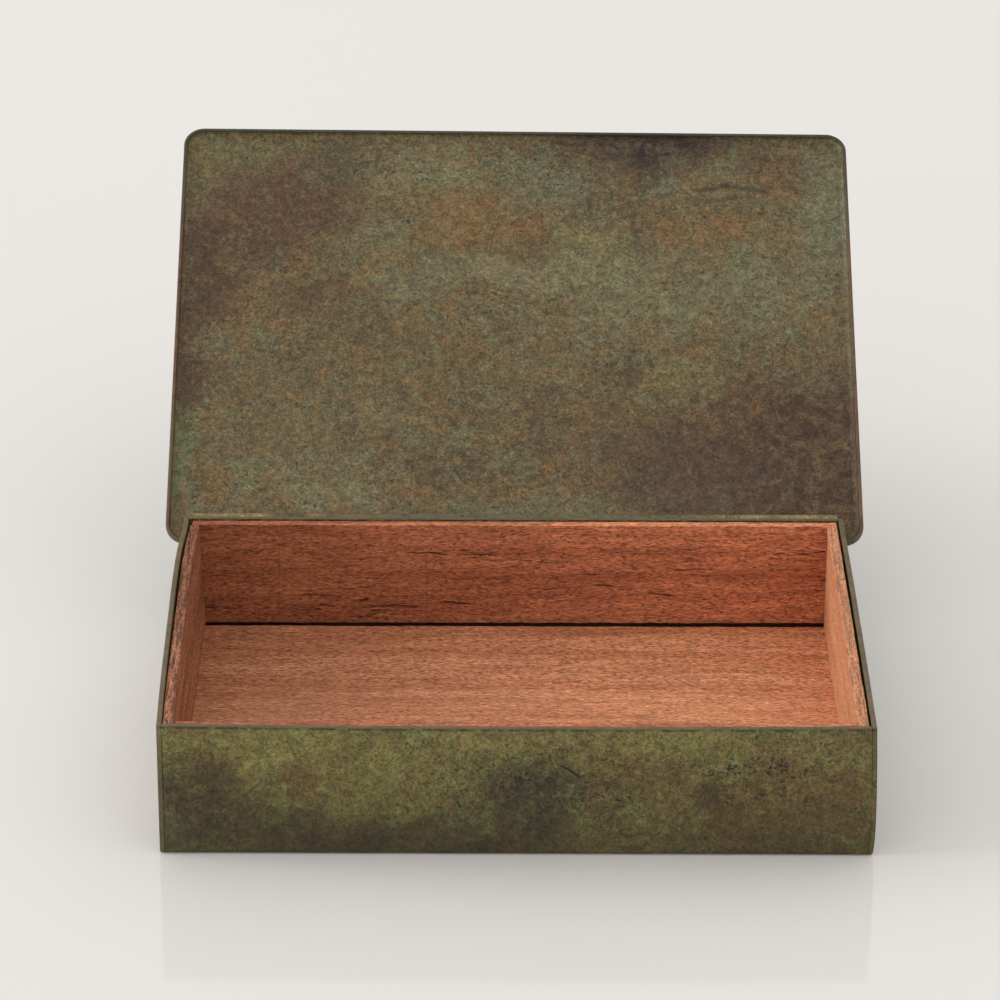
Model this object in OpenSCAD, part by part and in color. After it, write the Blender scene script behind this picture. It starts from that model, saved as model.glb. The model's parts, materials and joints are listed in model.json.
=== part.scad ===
// Low metal box lined with wood. A flat lid with a turned-down rim overhangs the case and
// swings on a full-width barrel hinge behind the back wall.
// Millimetres. The origin is the centre of the underside, +X is to the right, +Y is to the
// back and +Z is up. The lid is drawn open, resting on its stop.

/* [Case] */
// Outside width of the case, left to right
case_w = 165; // [120:1:240]
// Outside depth of the case, front to back
case_d = 115; // [80:1:180]
// Height of the case from its underside to its rim
case_h = 33.5; // [22:0.5:60]
// Thickness of the case sheet
wall_t = 1.2; // [0.8:0.1:2]
// Inside radius of the two folds under the front and back walls
fold_inner_r = 0.3; // [0.2:0.05:0.4]

/* [Lid] */
// How far the lid reaches past the case at the front and at both sides
lid_overhang = 6; // [3:0.5:12]
// Thickness of the lid sheet
lid_t = 0.9; // [0.6:0.1:1.6]
// Depth of the turned-down rim below the inner face of the lid
lid_rim_depth = 1.4; // [0.8:0.1:2.2]
// Outside radius of the four corners of the lid, seen from above
lid_corner_r = 5.4; // [3:0.1:12]
// Gap between the closed lid and the rim of the case
lid_seat_gap = 0.05; // [0.02:0.01:0.2]
// Angle that the lid opens to, from closed
lid_open_angle = 146; // [115:1:176]

/* [Hinge] */
// Thickness of the two hinge strips
strip_t = 0.6; // [0.4:0.1:1]
// Height of the strip on the back wall
case_strip_h = 10; // [8:0.5:14]
// Drop from the rim of the case to the top of that strip
case_strip_drop = 1; // [0.8:0.1:1.5]
// Outside radius of the knuckles
knuckle_r = 2.4; // [2:0.1:3]
// Length of the knuckle at each end
end_knuckle_len = 28; // [15:1:40]
// Gap between neighbouring knuckles, along the pin
knuckle_end_gap = 0.2; // [0.1:0.05:0.4]
// Gap between a knuckle and the strip that turns past it
knuckle_side_gap = 0.25; // [0.2:0.05:0.5]
// Width of the foot that joins a knuckle to its strip
knuckle_foot_w = 1.8; // [1.2:0.1:2.4]
// Radius of the hinge pin
pin_r = 1.1; // [0.7:0.1:1.3]
// Radial clearance of the pin in the centre knuckle, which turns on it
pin_run_clearance = 0.05; // [0.02:0.01:0.1]
// Radial clearance of the pin in the two end knuckles, which hold it
pin_hold_clearance = 0.02; // [0.01:0.01:0.05]
// How far the hinge ends short of each side of the case
hinge_inset = 1; // [0.5:0.5:5]
// Gap left where the open lid stops against the strip on the back wall
stop_gap = 0.05; // [0.02:0.01:0.2]

/* [Liner] */
// Thickness of the four upright liner boards
liner_t = 2.5; // [1.5:0.1:4]
// Thickness of the liner floor board
liner_floor_t = 4.4; // [2:0.1:6]
// Drop from the rim of the case to the top of the liner
liner_drop = 0.45; // [0:0.05:2]
// Gap between the liner and the case walls
liner_gap = 0.4; // [0.4:0.05:0.8]
// Gap between the floor board and the front and side boards
floor_gap = 0.2; // [0.1:0.05:0.5]
// Wider gap between the floor board and the back board, left by shrinkage
floor_gap_back = 1.2; // [0.2:0.1:2]

/* [Hidden] */
$fn = 64;

bronze = [0.40, 0.36, 0.24];
hinge_bronze = [0.55, 0.46, 0.32];
wood = [0.66, 0.38, 0.25];
pale_wood = [0.74, 0.48, 0.34];

inner_w = case_w - 2 * wall_t;
back_y = case_d / 2;

// The hinge axis stands off the back wall and below the rim by the same distance.
axis_offset = strip_t + knuckle_side_gap + knuckle_r;
axis_y = back_y + axis_offset;
axis_z = case_h - axis_offset;
hinge_len = case_w - 2 * hinge_inset;
centre_knuckle_len = hinge_len - 2 * (end_knuckle_len + knuckle_end_gap);

// The closed lid lies on this plane.
lid_inner_z = case_h + lid_seat_gap;
rim_above_axis = lid_inner_z - lid_rim_depth - axis_z;
// Past the axis the lid is just long enough for its rear rim to meet the strip on the back wall
// when the lid reaches its full opening angle.
lid_past_axis = (strip_t + stop_gap - axis_offset - rim_above_axis * sin(lid_open_angle))
    / cos(lid_open_angle);
lid_w = case_w + 2 * lid_overhang;
lid_front_y = -case_d / 2 - lid_overhang;
lid_rear_y = axis_y + lid_past_axis;
lid_d = lid_rear_y - lid_front_y;
lid_mid_y = (lid_rear_y + lid_front_y) / 2;

// The strip under the lid starts clear of the strip on the back wall, and ends inside the rim.
strip_clearance = 0.6;
lid_strip_front_y = back_y + strip_t + strip_clearance;
lid_strip_rear_y = lid_rear_y - lid_t - strip_clearance;

liner_w = inner_w - 2 * liner_gap;
liner_d = case_d - 2 * (wall_t + liner_gap);
liner_h = case_h - wall_t - liner_drop;
board_end_y = liner_d / 2 - liner_t;
side_board_d = liner_d / 2 + board_end_y;
front_board_w = liner_w - 2 * liner_t;
floor_w = liner_w - 2 * (liner_t + floor_gap);
floor_front_y = -board_end_y + floor_gap;
floor_back_y = board_end_y - floor_gap_back;

// Upright rectangle, open to X and Y profiles, whose two lower corners are round.
module folded_outline(w, h, r) {
    translate([-w / 2, r]) square([w, h - r]);
    translate([-w / 2 + r, 0]) square([w - 2 * r, h]);
    for (side = [-1, 1])
        translate([side * (w / 2 - r), r]) circle(r);
}

// Rectangle with four round corners, centred on the origin.
module round_rectangle(w, d, r) {
    square([w, d - 2 * r], center = true);
    square([w - 2 * r, d], center = true);
    for (x = [-1, 1], y = [-1, 1])
        translate([x * (w / 2 - r), y * (d / 2 - r)]) circle(r);
}

// Profile in the YZ plane, extruded along +X from x.
module extrude_along_x(x, length) {
    translate([x, 0, 0]) rotate([90, 0, 90]) linear_extrude(length) children();
}

// Turns what is drawn in the closed position to the open position.
module opened() {
    translate([0, axis_y, axis_z]) rotate([-lid_open_angle, 0, 0])
        translate([0, -axis_y, -axis_z]) children();
}

// One sheet folded into the front wall, the bottom and the back wall.
module case_tray() {
    outer_r = fold_inner_r + wall_t;
    color(bronze) extrude_along_x(-inner_w / 2, inner_w) difference() {
        folded_outline(case_d, case_h, outer_r);
        translate([0, wall_t]) folded_outline(case_d - 2 * wall_t, case_h, fold_inner_r);
    }
}

// End plate that closes the folded sheet, flush with its outside all round.
module case_side(x) {
    color(bronze) extrude_along_x(x, wall_t)
        folded_outline(case_d, case_h, fold_inner_r + wall_t);
}

module case_side_left() { case_side(-case_w / 2); }
module case_side_right() { case_side(case_w / 2 - wall_t); }

// Flat strip soldered to the back wall. It carries the end knuckles.
module case_hinge_strip() {
    color(hinge_bronze)
        translate([-hinge_len / 2, back_y, case_h - case_strip_drop - case_strip_h])
            cube([hinge_len, strip_t, case_strip_h]);
}

// Tube on the hinge axis with a straight foot. The foot reaches out from the axis to foot_end,
// along -Y when it is turned by 0 degrees and along +Z when it is turned by -90 degrees.
module knuckle(x, length, bore_clearance, foot_end, foot_turn) {
    translate([x, axis_y, axis_z]) difference() {
        union() {
            rotate([0, 90, 0]) cylinder(h = length, r = knuckle_r);
            rotate([foot_turn, 0, 0]) translate([0, -foot_end, -knuckle_foot_w / 2])
                cube([length, foot_end, knuckle_foot_w]);
        }
        translate([-1, 0, 0]) rotate([0, 90, 0]) cylinder(h = length + 2, r = pin_r + bore_clearance);
    }
}

module case_knuckle(x) {
    color(hinge_bronze) knuckle(x, end_knuckle_len, pin_hold_clearance, axis_offset - strip_t, 0);
}

module hinge_knuckle_left() { case_knuckle(-hinge_len / 2); }
module hinge_knuckle_right() { case_knuckle(hinge_len / 2 - end_knuckle_len); }

module hinge_knuckle_centre() {
    foot_end = lid_inner_z - strip_t - axis_z;
    color(hinge_bronze) opened()
        knuckle(-centre_knuckle_len / 2, centre_knuckle_len, pin_run_clearance, foot_end, -90);
}

module hinge_pin() {
    color(hinge_bronze) translate([-hinge_len / 2, axis_y, axis_z])
        rotate([0, 90, 0]) cylinder(h = hinge_len, r = pin_r);
}

// Flat sheet with its edge turned down all round.
module lid_sheet() {
    pocket_r = lid_corner_r - lid_t;
    color(bronze) opened() translate([0, lid_mid_y, lid_inner_z - lid_rim_depth]) difference() {
        linear_extrude(lid_rim_depth + lid_t) round_rectangle(lid_w, lid_d, lid_corner_r);
        translate([0, 0, -1]) linear_extrude(lid_rim_depth + 1)
            round_rectangle(lid_w - 2 * lid_t, lid_d - 2 * lid_t, pocket_r);
    }
}

// Flat strip soldered to the inner face of the lid. It carries the centre knuckle.
module lid_hinge_strip() {
    color(hinge_bronze) opened()
        translate([-hinge_len / 2, lid_strip_front_y, lid_inner_z - strip_t])
            cube([hinge_len, lid_strip_rear_y - lid_strip_front_y, strip_t]);
}

// Board that stands on the bottom of the case. low is its corner at the left and front.
module upright_board(low, w, d) {
    translate([low[0], low[1], wall_t]) cube([w, d, liner_h]);
}

module liner_floor() {
    color(pale_wood) translate([-floor_w / 2, floor_front_y, wall_t])
        cube([floor_w, floor_back_y - floor_front_y, liner_floor_t]);
}

// The back board runs the full width. The side boards run from it to the front wall, and the
// front board stands between them.
module liner_back() { color(wood) upright_board([-liner_w / 2, board_end_y], liner_w, liner_t); }

module liner_front() {
    color(wood) upright_board([-front_board_w / 2, -liner_d / 2], front_board_w, liner_t);
}

module liner_left() {
    color(wood) upright_board([-liner_w / 2, -liner_d / 2], liner_t, side_board_d);
}

module liner_right() {
    color(wood) upright_board([liner_w / 2 - liner_t, -liner_d / 2], liner_t, side_board_d);
}

case_tray();
case_side_left();
case_side_right();
case_hinge_strip();
hinge_knuckle_left();
hinge_knuckle_right();
hinge_pin();
lid_sheet();
lid_hinge_strip();
hinge_knuckle_centre();
liner_floor();
liner_front();
liner_back();
liner_left();
liner_right();
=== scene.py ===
"""A low patinated metal box with a wooden liner and a hinged lid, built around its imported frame.

Every piece is made in metres in the frame of the CAD model. The pieces of the lid are made in
the shut position and then turned open about the hinge, so that their texture coordinates are
those of the shut lid.
"""

import json
import math

import bmesh
import bpy
from mathutils import Matrix, Vector, noise


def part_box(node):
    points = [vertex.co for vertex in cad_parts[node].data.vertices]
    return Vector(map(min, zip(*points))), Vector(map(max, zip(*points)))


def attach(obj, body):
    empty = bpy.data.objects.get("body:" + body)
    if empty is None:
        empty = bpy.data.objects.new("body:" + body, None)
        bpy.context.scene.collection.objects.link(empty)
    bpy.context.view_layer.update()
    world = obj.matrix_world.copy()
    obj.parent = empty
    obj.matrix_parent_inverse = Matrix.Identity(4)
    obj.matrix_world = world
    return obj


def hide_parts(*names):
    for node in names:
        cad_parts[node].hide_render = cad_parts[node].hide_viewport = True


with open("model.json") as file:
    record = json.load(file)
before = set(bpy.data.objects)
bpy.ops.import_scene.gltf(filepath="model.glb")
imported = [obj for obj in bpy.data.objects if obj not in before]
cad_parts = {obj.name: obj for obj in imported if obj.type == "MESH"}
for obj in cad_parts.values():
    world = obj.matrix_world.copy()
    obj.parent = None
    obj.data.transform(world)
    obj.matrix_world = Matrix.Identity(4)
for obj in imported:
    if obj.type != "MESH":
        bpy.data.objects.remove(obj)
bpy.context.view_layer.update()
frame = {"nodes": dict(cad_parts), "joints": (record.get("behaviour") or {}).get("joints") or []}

MM = 0.001

noise.seed_set(1)       # noise_vector is seeded by the clock otherwise

# ---------------------------------------------------------------- places taken from the frame

HINGE = frame["joints"][0]
AXIS = Vector(HINGE["pos_m"])
OPEN_ANGLE = math.radians(HINGE["range_deg"][1])
OPENED = (
    Matrix.Translation(AXIS) @ Matrix.Rotation(-OPEN_ANGLE, 4, "X") @ Matrix.Translation(-AXIS)
)
SHUT = OPENED.inverted()


def shut_box(node):
    """Lowest and highest corner of a node of the lid, with the lid shut."""
    points = [SHUT @ v.co for v in frame["nodes"][node].data.vertices]
    return tuple(Vector(pick(p[i] for p in points) for i in range(3)) for pick in (min, max))


TRAY_LO, TRAY_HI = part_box("case_tray")
LEFT_LO, LEFT_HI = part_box("case_side_left")
RIGHT_LO, RIGHT_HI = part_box("case_side_right")
STRIP_LO, STRIP_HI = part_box("case_hinge_strip")
LEFT_KNUCKLE_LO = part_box("hinge_knuckle_left")[0]
PIN_LO, PIN_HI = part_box("hinge_pin")
LID_LO, LID_HI = shut_box("lid_sheet")
LID_STRIP_LO, LID_STRIP_HI = shut_box("lid_hinge_strip")
CENTRE_LO, CENTRE_HI = shut_box("hinge_knuckle_centre")
FLOOR_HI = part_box("liner_floor")[1]

CASE_LO, CASE_HI = LEFT_LO, RIGHT_HI
CASE_HALF_W = CASE_HI.x
CASE_HALF_D = CASE_HI.y
WALL = LEFT_HI.x - LEFT_LO.x
RIM_Z = CASE_HI.z
LID_INNER_Z = LID_STRIP_HI.z
LID_T = LID_HI.z - LID_INNER_Z
LID_HALF_W = LID_HI.x
LID_MID = (LID_LO + LID_HI) / 2
LID_HALF_D = LID_HI.y - LID_MID.y
KNUCKLE_R = AXIS.z - LEFT_KNUCKLE_LO.z
PIN_R = AXIS.z - PIN_LO.z

# ---------------------------------------------------------------- small shapes of the finish

FOLD_OUTER_R = 1.5 * MM
FOLD_INNER_R = 0.35 * MM
SHEET_EDGE = 0.22 * MM
SEAM_EDGE = 0.12 * MM
STRIP_EDGE = 0.15 * MM
SHEET_ROUGH = 0.05 * MM
STRIP_ROUGH = 0.03 * MM
KNUCKLE_ROUGH = 0.02 * MM
KNUCKLE_EDGE = 0.25 * MM
KNUCKLE_FOOT_HALF = 0.9 * MM
BORE_GAP = 0.04 * MM
PIN_DOME = 0.3 * MM
LID_CORNER_R = 5.4 * MM
LID_BEND_R = 1.1 * MM
LID_FILLET_R = 1.25 * MM
LID_LIP_R = 0.3 * MM
LID_SKEW = 0.72 * MM
LID_WAVE = 0.10 * MM
LID_FLAT_RIM = 12 * MM              # the wave fades out over this distance to the rim
LID_SHIFT = 0.2 * MM
FRONT_BOW = 0.9 * MM
FRONT_BOW_RISE = 1.6                # power of the height: the bow is most at the rim
LEFT_BULGE = 1.7 * MM
LEFT_BULGE_RISE = 1.3
LEFT_CORNER = 0.6                   # share of the bulge that is left at the back corner
STAND_GAP = 0.02 * MM               # keeps the bottom from coinciding with the table
RIGHT_BULGE = 0.15 * MM
RIGHT_BELLY = 0.62 * MM
LEFT_BOARD_LEAN = 0.3 * MM
LEFT_BOARD_FOLLOW = 0.75            # share of the wall's bulge that the board follows
BACK_BOARD_SHORT = 0.5 * MM
BACK_BOARD_SHORT_REACH = 20 * MM
BACK_BOARD_REBATE = 1.6 * MM
BACK_BOARD_GAP = 0.22 * MM
BACK_BOARD_TAPER = 0.14 * MM
BACK_BOARD_RAGGED = 0.12 * MM
FRONT_BOARD_DROP = 0.4 * MM
FLOOR_SPREAD = 0.6 * MM
BOARD_EDGE = 0.3 * MM
BOARD_ROUGH = 0.09 * MM
BOARD_WAVE = 0.06 * MM
BOARD_STEP = 1.6 * MM
HINGE_STEP = 2 * MM
GRID_STEP = 5 * MM
SMOOTH_BELOW = math.radians(50)     # sharper edges than this stay sharp


# ---------------------------------------------------------------- mesh helpers


def rounded_path(corners, step, arc_points=4):
    """Closed outline through (u, v, radius) corners: an arc at each, and even points between."""
    arcs = []
    for i, (u, v, radius) in enumerate(corners):
        corner = Vector((u, v))
        before = (Vector(corners[i - 1][:2]) - corner).normalized()
        after = (Vector(corners[(i + 1) % len(corners)][:2]) - corner).normalized()
        half = before.angle(after) / 2
        centre = corner + (before + after).normalized() * radius / math.sin(half)
        first = corner + before * radius / math.tan(half) - centre
        last = corner + after * radius / math.tan(half) - centre
        turn = first.angle_signed(last)
        arcs.append([
            centre + Matrix.Rotation(-turn * k / arc_points, 2) @ first
            for k in range(arc_points + 1)
        ])
    path = []
    for i, arc in enumerate(arcs):
        path += arc
        start, end = arc[-1], arcs[(i + 1) % len(arcs)][0]
        count = max(1, round((end - start).length / step))
        path += [start.lerp(end, k / count) for k in range(1, count)]
    return path


def inset(path, amount):
    """The outline moved inwards by amount. The outline runs anticlockwise."""
    moved = []
    for i, p in enumerate(path):
        along = (p - path[i - 1]).normalized() + (path[(i + 1) % len(path)] - p).normalized()
        along.normalize()
        moved.append(p + Vector((-along.y, along.x)) * amount)
    return moved


def skin(bm, rings, capped=True):
    """Joins rings of the same length by quads, and closes the first and the last."""
    rows = [[bm.verts.new(p) for p in ring] for ring in rings]
    for low, high in zip(rows, rows[1:]):
        for i in range(len(low)):
            bm.faces.new((low[i - 1], low[i], high[i], high[i - 1]))
    if capped:
        bm.faces.new(rows[0])
        bm.faces.new(rows[-1])
    return rows


def end_stations(low, high, edge, step, arc_points=3):
    """(place, inset) of each ring of a solid from low to high whose two ends are rounded."""
    turns = [math.pi / 2 * k / arc_points for k in range(arc_points + 1)]
    ends = [(edge * (1 - math.cos(a)), edge * (1 - math.sin(a))) for a in turns]
    count = max(1, round((high - low - 2 * edge) / step))
    middle = [low + edge + (high - low - 2 * edge) * k / count for k in range(1, count)]
    return (
        [(low + offset, shrink) for offset, shrink in ends]
        + [(place, 0.0) for place in middle]
        + [(high - offset, shrink) for offset, shrink in reversed(ends)]
    )


def prism(path, low, high, edge, step, place):
    """Solid with that outline, from low to high. place turns (along, u, v) into a point."""
    bm = bmesh.new()
    rings = []
    for along, shrink in end_stations(low, high, edge, step):
        rings.append([place(along, p.x, p.y) for p in inset(path, shrink)])
    skin(bm, rings)
    return bm


def along_x(along, u, v):
    return Vector((along, u, v))


def along_y(along, u, v):
    return Vector((v, along, u))


def cut_grid(bm, axis, low, high, step):
    """Cuts the whole mesh by even planes across an axis, so that it can bend."""
    count = max(1, round((high - low) / step))
    normal = Vector((0, 0, 0))
    normal[axis] = 1
    for k in range(1, count):
        point = normal * (low + (high - low) * k / count)
        everything = bm.verts[:] + bm.edges[:] + bm.faces[:]
        bmesh.ops.bisect_plane(bm, geom=everything, plane_co=point, plane_no=normal, dist=1e-6)


def clamped(value):
    return min(1.0, max(0.0, value))


def wobble(point, scale, amount, seed):
    """Small smooth irregularity of a point, the same on every run."""
    return noise.noise_vector(point * scale + Vector((seed, 2.3 * seed, -seed))) * amount


def make_piece(name, bm, node, material, shape=None, shut=False):
    """Finishes a mesh as the piece that stands for a node, on that node's body."""
    if shape:
        for v in bm.verts:
            v.co = shape(v.co.copy())
    bmesh.ops.recalc_face_normals(bm, faces=bm.faces[:])
    mesh = bpy.data.meshes.new(name)
    bm.to_mesh(mesh)
    bm.free()
    mesh.polygons.foreach_set("use_smooth", [True] * len(mesh.polygons))
    mesh.set_sharp_from_angle(angle=SMOOTH_BELOW)
    mesh.materials.append(material)
    piece = bpy.data.objects.new(name, mesh)
    bpy.context.scene.collection.objects.link(piece)
    weighted = piece.modifiers.new("weighted_normals", "WEIGHTED_NORMAL")
    weighted.keep_sharp = True
    weighted.weight = 80
    if shut:
        piece.matrix_world = OPENED
    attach(piece, "lid" if shut else "case")
    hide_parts(node)


# ---------------------------------------------------------------- node helpers


def tone(red, green, blue):
    """Linear colour from display values of 0 to 255."""
    linear = []
    for value in (red, green, blue):
        share = value / 255
        linear.append(share / 12.92 if share <= 0.04045 else ((share + 0.055) / 1.055) ** 2.4)
    return (*linear, 1.0)


class Graph:
    """One material and the nodes that are added to it."""

    def __init__(self, name):
        self.material = bpy.data.materials.new(name)
        self.material.use_nodes = True
        self.tree = self.material.node_tree
        self.tree.nodes.clear()
        self.place = self.add("ShaderNodeTexCoord").outputs["Object"]

    def add(self, kind, **settings):
        node = self.tree.nodes.new(kind)
        for key, value in settings.items():
            setattr(node, key, value)
        return node

    def put(self, socket, value):
        if isinstance(value, bpy.types.NodeSocket):
            self.tree.links.new(value, socket)
        else:
            socket.default_value = value

    def calc(self, operation, *values, clamp=False):
        node = self.add("ShaderNodeMath", operation=operation, use_clamp=clamp)
        for socket, value in zip(node.inputs, values):
            self.put(socket, value)
        return node.outputs[0]

    def vector(self, operation, *values, scale=None):
        node = self.add("ShaderNodeVectorMath", operation=operation)
        for socket, value in zip(node.inputs, values):
            self.put(socket, value)
        if scale is not None:
            self.put(node.inputs["Scale"], scale)
        single = operation in ("LENGTH", "DISTANCE", "DOT_PRODUCT")
        return node.outputs["Value" if single else "Vector"]

    def split(self, vector):
        node = self.add("ShaderNodeSeparateXYZ")
        self.put(node.inputs[0], vector)
        return node.outputs

    def join(self, x, y, z):
        node = self.add("ShaderNodeCombineXYZ")
        for socket, value in zip(node.inputs, (x, y, z)):
            self.put(socket, value)
        return node.outputs[0]

    def noise(self, vector, scale, detail=2.0, roughness=0.55, distortion=0.0, output="Fac"):
        node = self.add("ShaderNodeTexNoise", noise_dimensions="3D")
        settings = {
            "Vector": vector, "Scale": scale, "Detail": detail,
            "Roughness": roughness, "Distortion": distortion,
        }
        for key, value in settings.items():
            self.put(node.inputs[key], value)
        return node.outputs[output]

    def cells(self, vector, scale):
        """Distance to the nearest of scattered points."""
        node = self.add("ShaderNodeTexVoronoi", feature="F1")
        self.put(node.inputs["Vector"], vector)
        self.put(node.inputs["Scale"], scale)
        return node.outputs["Distance"]

    def remap(self, value, low, high, to_low=0.0, to_high=1.0, smooth=False):
        kind = "SMOOTHSTEP" if smooth else "LINEAR"
        node = self.add("ShaderNodeMapRange", interpolation_type=kind, clamp=True)
        for socket, given in zip(node.inputs, (value, low, high, to_low, to_high)):
            self.put(socket, given)
        return node.outputs[0]

    def mix(self, factor, first, second):
        node = self.add("ShaderNodeMix", data_type="RGBA")
        node.clamp_factor = True
        self.put(node.inputs[0], factor)
        self.put(node.inputs[6], first)
        self.put(node.inputs[7], second)
        return node.outputs[2]

    def ramp(self, factor, stops):
        node = self.add("ShaderNodeValToRGB")
        elements = node.color_ramp.elements
        for k, (position, colour) in enumerate(stops):
            element = elements[k] if k < 2 else elements.new(position)
            element.position = position
            element.color = colour
        self.put(node.inputs[0], factor)
        return node.outputs[0]

    def shade(self, colour, factor, dark, light):
        """Colour multiplied by a grey that runs from dark to light with the factor."""
        grey = self.remap(factor, 0.0, 1.0, dark, light)
        return self.vector("SCALE", colour, scale=grey)

    def stretched(self, vector, x, y, z):
        return self.vector("MULTIPLY", vector, (x, y, z))

    def band(self, value, centre, half_width, soft):
        """1 where value is within half_width of centre, falling to 0 over soft."""
        away = self.calc("ABSOLUTE", self.calc("SUBTRACT", value, centre))
        return self.remap(away, half_width, half_width + soft, 1.0, 0.0)

    def stroke(self, vector, start, end, half_width, soft):
        """1 on the line from start to end, falling to 0 over soft."""
        start, span = Vector(start), Vector(end) - Vector(start)
        offset = self.vector("SUBTRACT", vector, start)
        share = self.calc(
            "DIVIDE", self.vector("DOT_PRODUCT", offset, span), span.length_squared, clamp=True
        )
        away = self.vector("DISTANCE", offset, self.vector("SCALE", span, scale=share))
        return self.remap(away, half_width, half_width + soft, 1.0, 0.0)

    def edge_distance(self, low, high):
        """Distance to the nearest edge of the box from low to high, on its surface."""
        middle, half = (low + high) / 2, (high - low) / 2
        inside = self.vector("SUBTRACT", half, self.vector(
            "ABSOLUTE", self.vector("SUBTRACT", self.place, middle)))
        x, y, z = self.split(inside)[:3]
        least = self.calc("MINIMUM", x, y)
        most = self.calc("MAXIMUM", x, y)
        return self.calc("MAXIMUM", least, self.calc("MINIMUM", most, z))

    def finish(self, colour, roughness, height, depth, metallic=0.0, specular=0.5, ior=1.5):
        shader = self.add("ShaderNodeBsdfPrincipled")
        bump = self.add("ShaderNodeBump")
        self.put(bump.inputs["Height"], height)
        bump.inputs["Distance"].default_value = depth
        bump.inputs["Strength"].default_value = 1.0
        self.put(shader.inputs["Base Color"], colour)
        self.put(shader.inputs["Roughness"], roughness)
        self.put(shader.inputs["Metallic"], metallic)
        shader.inputs["Specular IOR Level"].default_value = specular
        shader.inputs["IOR"].default_value = ior
        self.tree.links.new(bump.outputs[0], shader.inputs["Normal"])
        output = self.add("ShaderNodeOutputMaterial")
        self.tree.links.new(shader.outputs[0], output.inputs["Surface"])
        return self.material


# ---------------------------------------------------------------- patina

DARK_BROWN = tone(66, 50, 42)
OCHRE = tone(124, 92, 54)
VERDIGRIS = tone(108, 109, 82)
# Dark colour of pits, specks, seams, scratches and the line under the rim, and also of the painted
# shade in the gap under the back board.
SOOT_AND_SHADE = tone(38, 35, 30)
RIM_BROWN = tone(112, 94, 72)
COPPER = tone(140, 98, 72)
BRASS = tone(158, 136, 88)

CLOUD_STOPS = (0.32, 0.44, 0.54, 0.66)
LID_TONES = {
    "clouds": (tone(82, 66, 46), tone(94, 79, 53), tone(103, 90, 60), tone(106, 97, 66)),
    "green": tone(106, 105, 76),
    "rust": tone(118, 88, 52),
}
CASE_TONES = {
    "clouds": (tone(86, 74, 44), tone(100, 90, 52), tone(110, 102, 58), tone(120, 114, 64)),
    "green": tone(118, 124, 70),
    "rust": tone(112, 88, 48),
}


def patina(graph, patches, seed, tones, flat_z=1.0):
    """(colour, roughness, height) of aged metal: clouds, patches, mottling, grain and pits.

    Each patch is (centre, radii, colour, strength), in metres. flat_z stretches the clouds'
    coordinates across the sheet, so that its two faces differ. Flecks lie under the patches.
    """
    offset = Vector((seed, -seed * 1.7, seed * 0.6))
    place = graph.vector("ADD", graph.stretched(graph.place, 1, 1, flat_z), offset)
    warp = graph.noise(place, 55, 4, 0.6, output="Color")
    shift = graph.vector("SCALE", graph.vector("SUBTRACT", warp, (0.5,) * 3), scale=22 * MM)
    warped = graph.vector("ADD", place, shift)

    cloud = graph.noise(warped, 34, 4, 0.62, 0.4)
    colour = graph.ramp(cloud, list(zip(CLOUD_STOPS, tones["clouds"])))
    green = graph.noise(warped, 120, 5, 0.72, 0.5)
    colour = graph.mix(graph.remap(green, 0.48, 0.62, 0.0, 0.85), colour, tones["green"])
    rust = graph.noise(graph.vector("ADD", warped, (0.3, 0.1, 0.7)), 130, 5, 0.72, 0.5)
    colour = graph.mix(graph.remap(rust, 0.48, 0.62, 0.0, 0.80), colour, tones["rust"])

    flecks = graph.noise(graph.vector("ADD", graph.place, (0.7, 0.2, 0.4)), 1150, 3, 0.68, 0.8)
    colour = graph.mix(graph.remap(flecks, 0.52, 0.64, 0.0, 0.50), colour, tone(118, 112, 72))
    colour = graph.mix(graph.remap(flecks, 0.46, 0.36, 0.0, 0.50), colour, tone(64, 62, 54))

    local = graph.vector("ADD", graph.place, shift)
    ragged = graph.noise(warped, 230, 5, 0.72)
    for centre, radii, patch_colour, strength in patches:
        reach = Vector([1 / r for r in radii])
        offset = graph.vector("MULTIPLY", graph.vector("SUBTRACT", local, Vector(centre)), reach)
        inside = graph.remap(graph.vector("LENGTH", offset), 0.40, 1.30, 1.0, 0.0, smooth=True)
        uneven = graph.remap(ragged, 0.40, 0.58, 0.45 * strength, strength)
        colour = graph.mix(graph.calc("MULTIPLY", inside, uneven), colour, patch_colour)

    mottle = graph.noise(graph.place, 420, 4, 0.65, 0.6)
    colour = graph.shade(colour, graph.remap(mottle, 0.36, 0.64), 0.72, 1.28)
    grain = graph.noise(graph.place, 1500, 3, 0.72, 0.9)
    colour = graph.shade(colour, graph.remap(grain, 0.37, 0.63), 0.52, 1.50)

    pits = graph.cells(graph.vector("ADD", graph.place, shift), 560)
    pitted = graph.remap(graph.noise(warped, 60, 3, 0.6), 0.48, 0.62)
    pits = graph.calc("MULTIPLY", graph.remap(pits, 0.14, 0.30, 1.0, 0.0), pitted)
    colour = graph.mix(graph.calc("MULTIPLY", pits, 0.8), colour, SOOT_AND_SHADE)

    roughness = graph.remap(cloud, 0.3, 0.7, 0.64, 0.50)
    roughness = graph.calc("ADD", roughness, graph.remap(grain, 0.3, 0.7, -0.06, 0.06))
    height = graph.calc("ADD", graph.calc("MULTIPLY", mottle, 0.5), grain)
    height = graph.calc("SUBTRACT", height, graph.calc("MULTIPLY", pits, 1.5))
    return colour, roughness, height


def patch(x, y, z, reach_x, reach_y, reach_z, colour, strength):
    """A patch of patina, in millimetres."""
    return (
        (x * MM, y * MM, z * MM), (reach_x * MM, reach_y * MM, reach_z * MM), colour, strength
    )


THROUGH = 20                        # reach across the sheet or the hinge, more than its thickness


def lid_patch(x, y, reach_x, reach_y, colour, strength):
    """A patch on the inner face of the lid, from its middle."""
    middle = LID_MID / MM
    return patch(x, middle.y + y, LID_INNER_Z / MM, reach_x, reach_y, THROUGH, colour, strength)


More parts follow.
